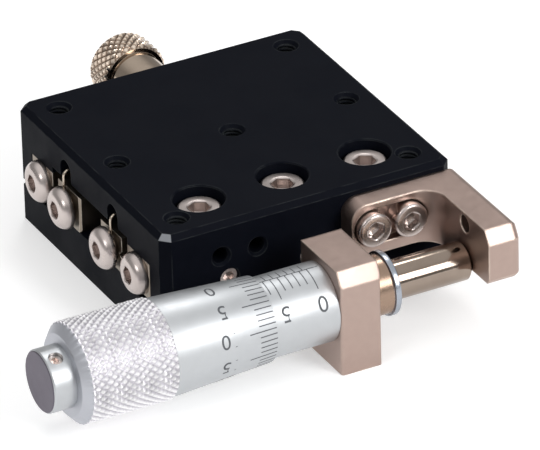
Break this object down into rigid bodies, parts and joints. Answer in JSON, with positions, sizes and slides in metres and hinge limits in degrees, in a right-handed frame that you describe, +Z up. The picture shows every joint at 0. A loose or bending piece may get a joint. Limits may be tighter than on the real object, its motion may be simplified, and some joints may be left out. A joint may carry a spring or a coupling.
{
  "type": "linear translation stage",
  "caption": "Small crossed-roller linear stage with black plates, a side micrometer drive with a graduated thimble, an anvil bracket, return springs and a knurled clamp knob.",
  "frame": {"origin": "centre of the base plate's bottom face", "axes": "+X along the travel, away from the thimble; +Z up, out of the table's top face; the micrometer is on the -Y side"},
  "size_m": [0.0636, 0.0679, 0.016],
  "materials": {
    "black_anodised": "black anodised, matt",
    "rail_steel": "ground bearing steel",
    "cage_brass": "thin sheet, satin",
    "hardened_steel": "hardened, ground and polished",
    "stainless": "bright stainless screws",
    "spring_steel": "drawn wire",
    "champagne_nickel": "satin champagne nickel plate",
    "satin_chrome": "satin chrome plate, engraved scales",
    "bright_nickel": "polished nickel plate"
  },
  "bodies": {
    "base": {"base_plate": "black_anodised", "inner_rail_front": "rail_steel", "inner_rail_rear": "rail_steel", "inner_rail_screws": "stainless", "inner_rail_end_screws": "stainless", "micrometer_bracket": "champagne_nickel", "micrometer_bracket_screws": "stainless", "micrometer_barrel": "hardened_steel", "micrometer_sleeve": "satin_chrome", "adjusting_nut": "hardened_steel", "stem_nut": "satin_chrome", "clamp_plate": "champagne_nickel", "clamp_plate_screws": "stainless", "return_spring_front": "spring_steel", "return_spring_rear": "spring_steel"},
    "table": {"table_top": "black_anodised", "outer_rail_front": "rail_steel", "outer_rail_rear": "rail_steel", "front_rail_screws": "stainless", "rear_rail_screws": "stainless", "outer_rail_end_screws": "stainless", "preload_screws": "stainless", "spring_pins": "hardened_steel", "anvil_bracket": "champagne_nickel", "anvil_bracket_screws": "stainless"},
    "micrometer_screw": {"spindle": "hardened_steel", "thimble": "satin_chrome", "thimble_cap": "satin_chrome", "cap_set_screw": "stainless"},
    "clamp": {"clamp_knob": "bright_nickel", "clamp_stud": "stainless"},
    "front_cage": {"cage_front": "cage_brass", "rollers_front": "hardened_steel"},
    "rear_cage": {"cage_rear": "cage_brass", "rollers_rear": "hardened_steel"}
  },
  "joints": [
    {"name": "thimble_spin", "type": "hinge", "parent": "table", "child": "micrometer_screw", "pos_m": [0, -0.0303, 0.008], "axis": [1, 0, 0], "range_deg": [-4680, 4680]},
    {"name": "table_slide", "type": "slide", "parent": "base", "child": "table", "axis": [1, 0, 0], "range_m": [-0.0065, 0.0065], "deforming": ["return_spring_front", "return_spring_rear"]},
    {"name": "front_cage_slide", "type": "slide", "parent": "base", "child": "front_cage", "axis": [1, 0, 0], "range_m": [-0.00325, 0.00325]},
    {"name": "rear_cage_slide", "type": "slide", "parent": "base", "child": "rear_cage", "axis": [1, 0, 0], "range_m": [-0.00325, 0.00325]},
    {"name": "clamp_turn", "type": "hinge", "parent": "table", "child": "clamp", "pos_m": [0, 0.022, 0.0108], "axis": [0, 1, 0], "range_deg": [-90, 270]}
  ],
  "couplings": [
    {"joint": "thimble_spin", "follows": "table_slide", "rad_per_m": 12566},
    {"joint": "front_cage_slide", "follows": "table_slide", "ratio": 0.5},
    {"joint": "rear_cage_slide", "follows": "table_slide", "ratio": 0.5}
  ]
}
